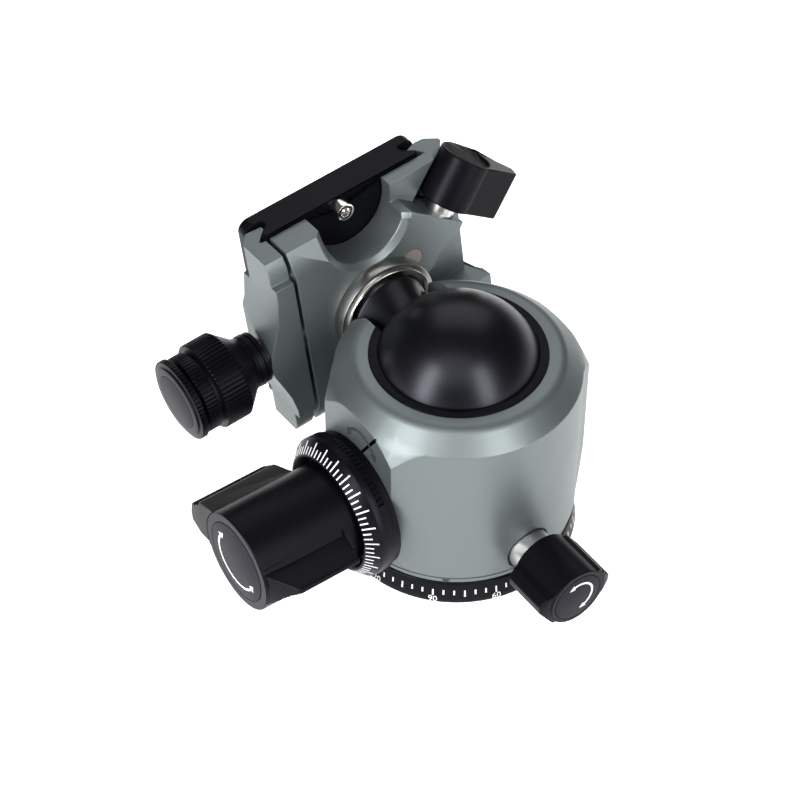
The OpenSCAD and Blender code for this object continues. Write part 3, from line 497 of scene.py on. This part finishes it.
# Main lock knob: black anodised aluminium, a round barrel with two ribbed wings, clamped
# to the shaft by a screw under the inset disc. The disc carries a plain arc arrow.
main_round, main_disc_round = 0.30, 0.12
main_arrow_r, main_arrow_w, main_arrow_head = 5.6, 0.5, 1.5
main_arrow_from, main_arrow_to, main_arrow_h = 60, 235, 48.86
weighted(piece("main_knob_body", softened("main_knob", main_round, segments=3), black_anodised,
               "main_lock", ["main_knob"]))
dress(satin_steel, "main_knob_screw")
disc_grey = finish("disc_grey", (0.011, 0.011, 0.015), 0.0, 0.48, grain=5200, depth=0.15,
                   specular=0.065)
piece("main_knob_disc_body", softened("main_knob_disc", main_disc_round), disc_grey,
      "main_lock", ["main_knob_disc"])
arrow = arc_arrow(main_arrow_r, main_arrow_w, main_arrow_from, main_arrow_to, main_arrow_head)
bmesh.ops.translate(arrow, vec=(0, 0, main_arrow_h), verts=arrow.verts)
bmesh.ops.transform(arrow, matrix=at_lock, verts=arrow.verts)
piece("main_knob_arrow", arrow, white_paint, "main_lock")

# Pan lock: a steel screw with a silver collar, and a small knob of black anodised aluminium
# with two ribbed wings. It presses the brass shoe on the spindle.
pan_z = 10.5
at_pan = Matrix.Translation((0, 0, pan_z * mm_size)) @ Matrix.Rotation(quarter_turn, 4, "X") @ mm
pan_round, pan_disc_round = 0.25, 0.10
pan_arrow_r, pan_arrow_w, pan_arrow_head = 3.3, 0.42, 1.2
pan_arrow_from, pan_arrow_to, pan_arrow_h = -60, 105, 36.86
collar_steel = finish("collar_steel", (0.56, 0.56, 0.55), 1.0, 0.30, grain=1500, depth=0.12,
                      stretch=(5, 1, 5))
dress(collar_steel, "pan_screw")
weighted(piece("pan_knob_body", softened("pan_knob", pan_round, segments=3), black_anodised,
               "pan_lock", ["pan_knob"]))
piece("pan_knob_disc_body", softened("pan_knob_disc", pan_disc_round), disc_grey, "pan_lock",
      ["pan_knob_disc"])
arrow = arc_arrow(pan_arrow_r, pan_arrow_w, pan_arrow_from, pan_arrow_to, pan_arrow_head)
bmesh.ops.translate(arrow, vec=(0, 0, pan_arrow_h), verts=arrow.verts)
bmesh.ops.transform(arrow, matrix=at_pan, verts=arrow.verts)
piece("pan_knob_arrow", arrow, white_paint, "pan_lock")

# Ball and stem: one aluminium ball with its neck, turned, polished and black anodised. The
# bright steel collar, the bolt and the brass washer hold the clamp on the stem.
# Heights are measured from the ball's centre, out along the stem.
ball_z, stem_tilt = 37.2, -3.3
at_ball = (Matrix.Translation((0, 0, ball_z * mm_size))
           @ Matrix.Rotation(math.radians(stem_tilt), 4, "X"))
along_stem = at_ball @ Matrix.Rotation(-quarter_turn, 4, "X") @ mm
ball_r, root_r, ball_steps = 15.75, 6.75, 96
collar_round = 0.12
ball_black = finish("ball_black", (0.0015, 0.0015, 0.0026), 0.0, 0.33, grain=900, depth=0.02,
                    spread=0.1, specular=0.26)
root = math.asin(root_r / ball_r)
ball_arc = [math.pi - (math.pi - root) * i / ball_steps for i in range(ball_steps + 1)]
neck_outline = [(6.62, 14.6), (6.6, 15.2), (6.6, 17.0), (7.85, 20.8), (7.9, 21.0), (7.0, 21.0),
                (7.0, 29.8), (6.8, 30.0), (3.0, 30.0), (3.0, 12.0), (0, 12.0)]
ball = lathe([(ball_r * math.sin(a), ball_r * math.cos(a)) for a in ball_arc] + neck_outline,
             steps=160)
bmesh.ops.transform(ball, matrix=along_stem, verts=ball.verts)
piece("ball_stem_body", ball, ball_black, "ball", ["ball_stem"])
bright_steel = finish("bright_steel", (0.78, 0.76, 0.73), 1.0, 0.16, grain=1500, depth=0.05)
piece("stem_collar_ring", softened("stem_collar", collar_round), bright_steel, "ball",
      ["stem_collar"])
dress(satin_steel, "stem_bolt")
dress(turned_brass, "bolt_washer")

# Clamp: a machined aluminium block that turns on the stem, finished as the housing is, its
# end notches chamfered on the ball's side. A steel ring lies under its hub, with a small
# grey index mark beside it.
clamp_turn = -4.7
clamp_frame = at_ball @ Matrix.Rotation(math.radians(clamp_turn), 4, "Y")
notch_r, notch_w, notch_bevel, notch_edge_depth = 8.4, 19.6, 1.1, 2.6
clamp_low_v, clamp_end_w = 24.3, 21.5
wall_reach, end_reach = 0.08, 0.1
upright_share, least_fold = 0.8, 0.5
clamp_round, hub_round = 0.18, 0.15
to_clamp = clamp_frame.inverted()
block = merged("clamp_body")


def notch_distance(p):
    """How far a point in the clamp's frame, in mm, is from the end notches' wall."""
    past_centre = abs(p.z) >= notch_w
    across = abs(p.x) if past_centre else math.hypot(p.x, abs(p.z) - notch_w)
    return abs(across - notch_r)


rim = []
for e in block.edges:
    ends = [(to_clamp @ v.co) / mm_size for v in e.verts]
    on_wall = all(notch_distance(p) < wall_reach for p in ends)
    low = all(p.y < clamp_low_v + notch_edge_depth and abs(p.z) < clamp_end_w + end_reach
              for p in ends)
    along = (ends[0] - ends[1]).normalized() if e.calc_length() > 0 else Vector((0, 1, 0))
    folded = e.is_manifold and e.calc_face_angle(0) > least_fold
    if on_wall and low and abs(along.y) < upright_share and folded:
        rim.append(e)
bmesh.ops.bevel(block, geom=rim, offset=notch_bevel * mm_size, offset_type="OFFSET", segments=1,
                profile=0.5, affect="EDGES", material=-1, clamp_overlap=False)
weighted(piece("clamp_block", soften(block, clamp_round), blasted_grey, "clamp",
               ["clamp_body"]))
hub_steel = finish("hub_steel", (0.30, 0.30, 0.29), 1.0, 0.30, grain=1500, depth=0.12)
piece("hub_ring_body", softened("hub_ring", hub_round), hub_steel, "clamp",
      ["hub_ring"])
index_grey = finish("index_grey", (0.19, 0.17, 0.155), 0.3, 0.5, grain=5200, depth=0.2)
dress(index_grey, "hub_index")
dress(satin_steel, "jaw_pins", "turn_stud", "qr_stud")
dress(turned_brass, "turn_cotter")

# Clamp lock knob: a black anodised barrel with one flat wing on a steel stud, which draws
# the brass cotter against the stem.
turn_knob_round = 0.30
weighted(piece("turn_knob_body", softened("turn_knob", turn_knob_round, segments=3),
               black_anodised, "clamp_lock", ["turn_knob"]))

# Moving jaw and quick-release knob: the jaw is machined like the clamp, slides on two pins
# and is pulled in by the knob, turned from aluminium with three rings of straight teeth.
# Heights are measured from the clamp's middle, out along the stud.
jaw_round, qr_disc_round = 0.22, 0.10
knob_v, knob_w = 28.9, -0.5
at_qr = (clamp_frame @ Matrix.Translation((0, knob_v * mm_size, knob_w * mm_size))
         @ Matrix.Rotation(-quarter_turn, 4, "Y") @ mm)
qr_teeth, qr_tooth_depth = 60, 0.42
qr_neck = [(3.0, 24.65), (4.9, 24.65), (5.05, 24.8), (5.05, 25.5), (4.75, 25.6), (4.75, 25.85),
           (5.2, 25.95), (5.2, 26.9), (4.9, 27.0), (4.9, 27.25), (5.1, 27.4), (5.25, 28.1)]
qr_grip = [(5.6, 28.5), (8.1, 31.2), (8.25, 31.35), (8.5, 31.6), (8.5, 36.5), (8.3, 36.75),
           (7.1, 36.8), (7.1, 37.4), (7.45, 37.5), (7.6, 37.65), (7.6, 39.85), (7.45, 40.05)]
qr_end = [(6.2, 40.1), (6.2, 40.7), (7.85, 40.75), (8.0, 40.85), (8.0, 41.9), (7.9, 42.05),
          (7.2, 42.12), (7.0, 42.2), (6.95, 42.45), (6.85, 42.5), (5.45, 42.5), (5.4, 42.45),
          (5.4, 41.5), (3.0, 41.5), (3.0, 24.65)]
weighted(piece("moving_jaw_body", softened("moving_jaw", jaw_round, segments=2), blasted_grey,
               "jaw", ["moving_jaw"]))
qr = lathe(qr_neck + qr_grip + qr_end, steps=qr_teeth * tooth_steps)
for low, high, r_min in ((31.3, 36.6, 8.2), (37.6, 39.9, 7.55), (40.84, 41.95, 7.95)):
    toothed(qr, qr_teeth, low, high, r_min, qr_tooth_depth)
bmesh.ops.transform(qr, matrix=at_qr, verts=qr.verts)
piece("qr_knob_body", qr, black_anodised, "quick_release", ["qr_knob"])
piece("qr_knob_disc_body", softened("qr_knob_disc", qr_disc_round), disc_grey, "quick_release",
      ["qr_knob_disc"])

# Camera plate: a dovetail plate of black anodised aluminium with two rubber pads glued in
# its top, a stop screw at each end and the steel camera screw through it.
plate_round, stop_round = 0.22, 0.08
weighted(piece("camera_plate_body", softened("camera_plate", plate_round, segments=2),
               black_anodised, "plate", ["camera_plate"]))
piece("stop_screws_body", softened("stop_screws", stop_round), bright_steel, "plate",
      ["stop_screws"])
dress(black_rubber, "plate_pads")
dress(satin_steel, "camera_screw")
